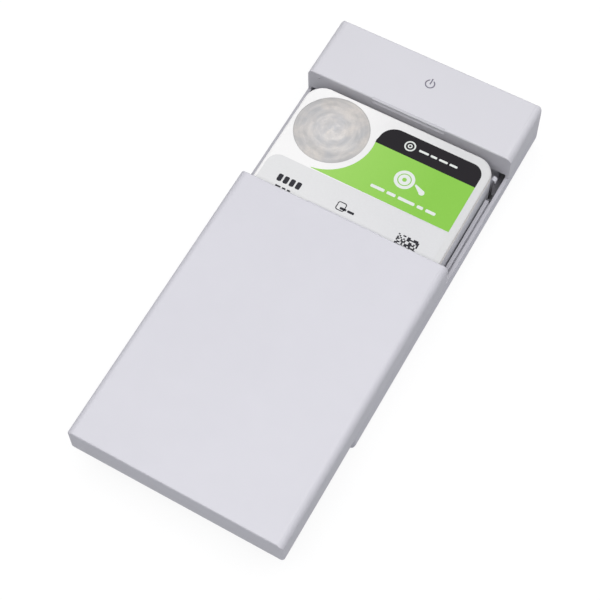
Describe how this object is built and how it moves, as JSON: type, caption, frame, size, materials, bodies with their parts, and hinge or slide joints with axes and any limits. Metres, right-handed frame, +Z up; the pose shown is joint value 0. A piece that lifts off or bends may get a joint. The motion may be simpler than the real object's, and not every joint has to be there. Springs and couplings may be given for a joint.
{
  "type": "desktop external hard disk drive",
  "caption": "Flat plastic desktop drive enclosure with its cover slid part of the way off its tray, showing the sealed disk drive plugged in behind a fixed head block.",
  "frame": {"origin": "the centre of the closed enclosure's flat underside; its four rubber feet reach 1 mm below it", "axes": "+Z up; +Y along the enclosure towards the fixed head block and its ports; +X across it. At rest the cover is drawn 66 mm along -Y, as it is opened to change the drive"},
  "size_m": [0.112, 0.259, 0.034],
  "materials": {
    "tray_plastic": "satin",
    "head_plastic": "satin",
    "cover_plastic": "satin",
    "panel_plastic": "satin",
    "icon_plastic": "satin",
    "button_plastic": "matte",
    "black_plastic": "matte",
    "board_green": "satin",
    "chip_black": "matte",
    "can_aluminium": "satin",
    "port_steel": "satin",
    "pin_brass": "polished",
    "lamp_plastic": "gloss",
    "screw_steel": "satin",
    "foot_rubber": "matte",
    "clip_plastic": "satin",
    "casting": "satin",
    "seal_rubber": "matte",
    "sheet_aluminium": "satin",
    "cover_foil": "satin",
    "label_film": "satin",
    "insulator_film": "matte",
    "shaft_steel": "polished",
    "core_steel": "satin",
    "coil_copper": "satin",
    "magnet_nickel": "satin",
    "ramp_plastic": "matte",
    "flex_film": "satin",
    "filter_cloth": "matte",
    "hub_aluminium": "satin",
    "platter_mirror": "polished",
    "spring_steel": "satin",
    "ceramic_dark": "satin"
  },
  "bodies": {
    "enclosure": {"base_tray": "tray_plastic", "head_cover": "head_plastic", "rear_panel": "panel_plastic", "icon_light_pipe": "icon_plastic", "power_switch": "black_plastic", "bridge_board": "board_green", "bridge_chips": "chip_black", "bridge_capacitors": "can_aluminium", "sata_receptacle": "black_plastic", "usb_port_shell": "port_steel", "usb_port_tongue": "black_plastic", "power_jack": "black_plastic", "power_jack_pin": "pin_brass", "status_led": "lamp_plastic", "bridge_screws": "screw_steel", "head_screws": "screw_steel", "rubber_feet": "foot_rubber", "drive_pads": "foot_rubber", "drive_clips": "clip_plastic"},
    "cover": {"sliding_cover": "cover_plastic"},
    "button": {"power_button": "button_plastic"},
    "drive": {"drive_base": "casting", "drive_seal": "seal_rubber", "drive_inner_cover": "sheet_aluminium", "inner_cover_screws": "screw_steel", "drive_outer_cover": "cover_foil", "drive_label": "label_film", "drive_board": "board_green", "drive_board_chips": "chip_black", "drive_board_screws": "screw_steel", "board_insulator": "insulator_film", "drive_sata_plug": "black_plastic", "spindle_shaft": "shaft_steel", "stator_core": "core_steel", "stator_coils": "coil_copper", "pivot_shaft": "shaft_steel", "magnet_plate_lower": "core_steel", "magnet_plate_upper": "core_steel", "voice_magnets": "magnet_nickel", "magnet_posts": "shaft_steel", "crash_stops": "seal_rubber", "parking_ramp": "ramp_plastic", "flex_cable": "flex_film", "flex_bracket": "sheet_aluminium", "recirculation_filter": "filter_cloth", "desiccant_pack": "filter_cloth"},
    "spindle": {"spindle_hub": "hub_aluminium", "spindle_sleeve": "pin_brass", "motor_magnet": "magnet_nickel", "platters": "platter_mirror", "platter_spacers": "hub_aluminium", "disc_clamp": "hub_aluminium", "clamp_screws": "screw_steel"},
    "actuator": {"pivot_sleeve": "shaft_steel", "actuator_arm": "hub_aluminium", "voice_coil": "coil_copper", "head_suspensions": "spring_steel", "head_sliders": "ceramic_dark", "preamp_chip": "chip_black"}
  },
  "joints": [
    {"name": "cover_slide", "type": "slide", "parent": "enclosure", "child": "cover", "axis": [0, -1, 0], "range_m": [-0.06615, 0.095]},
    {"name": "button_press", "type": "slide", "parent": "enclosure", "child": "button", "axis": [0, -1, 0], "range_m": [0, 0.0008], "stiffness_N_per_m": 900},
    {"name": "drive_unplug", "type": "slide", "parent": "enclosure", "child": "drive", "axis": [0, -1, 0], "range_m": [0, 0.0045]},
    {"name": "spindle_spin", "type": "hinge", "parent": "drive", "child": "spindle", "pos_m": [0, -0.0376, 0], "axis": [0, 0, 1], "continuous": true},
    {"name": "actuator_swing", "type": "hinge", "parent": "drive", "child": "actuator", "pos_m": [-0.022, 0.016, 0], "axis": [0, 0, 1], "range_deg": [-34.9, 0]}
  ]
}
